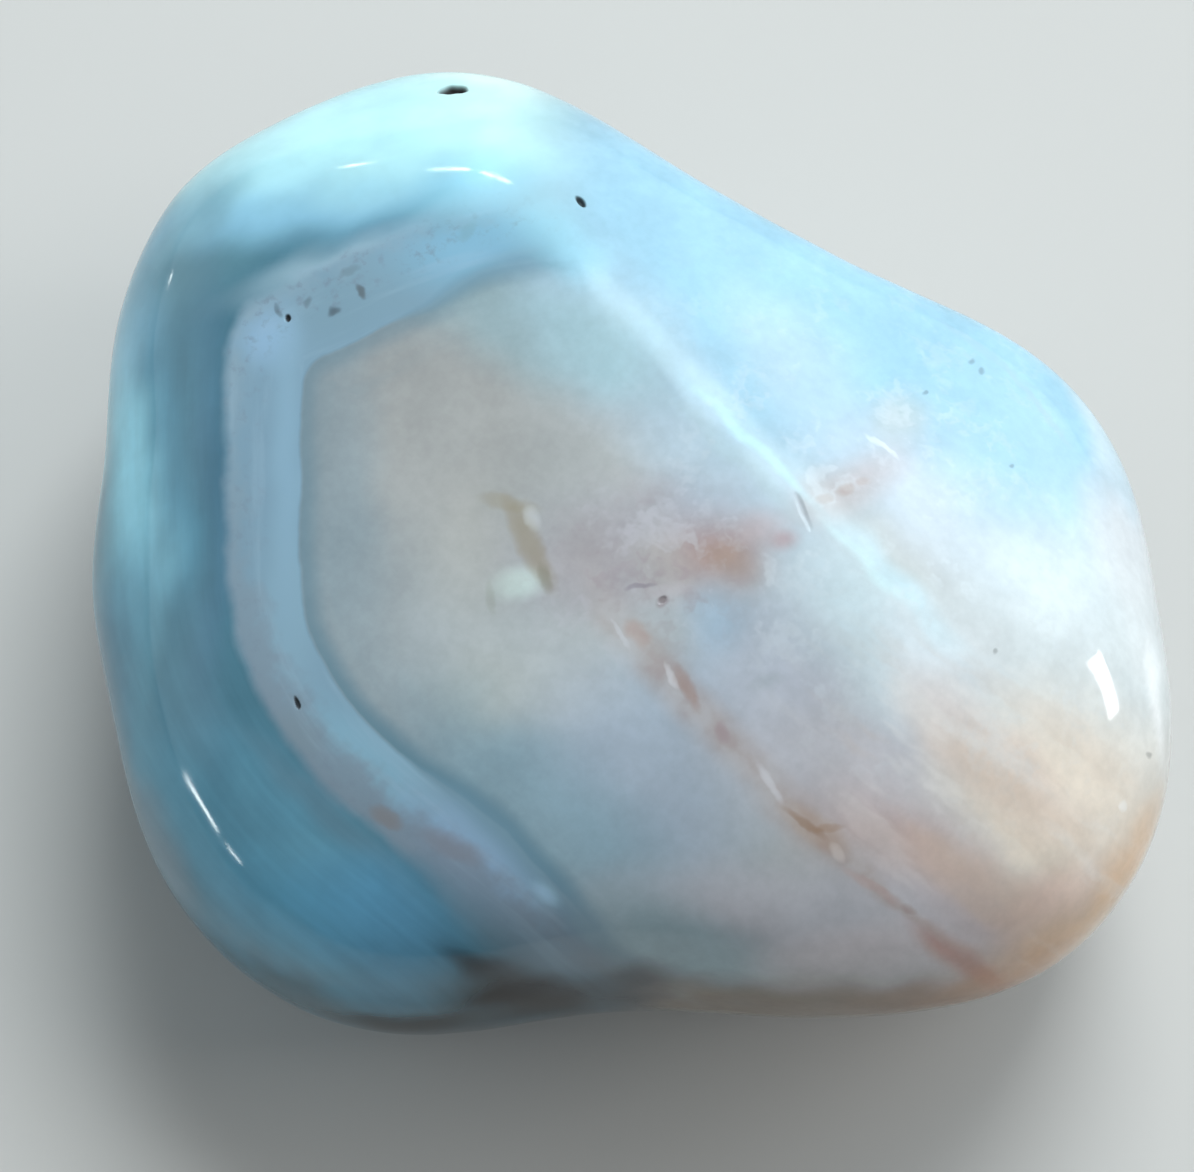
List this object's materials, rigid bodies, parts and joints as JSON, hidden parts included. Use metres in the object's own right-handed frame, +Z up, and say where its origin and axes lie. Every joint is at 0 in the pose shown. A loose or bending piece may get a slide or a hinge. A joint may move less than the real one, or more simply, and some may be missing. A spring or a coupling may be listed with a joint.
{
  "type": "polished tumbled agate stone",
  "caption": "Polished banded agate: one rounded, softly faceted tumbled stone with a flat underside to rest on.",
  "frame": {"origin": "centre of the bounding box, at the height of the flat underside that the stone rests on", "axes": "+X along the stone's longest direction, +Z up, away from the flat underside"},
  "size_m": [0.0404, 0.0328, 0.0176],
  "materials": {
    "agate": "polished, slightly translucent, blue-grey bands around a cream and grey core"
  },
  "bodies": {
    "root": {"agate_stone": "agate"}
  },
  "joints": []
}
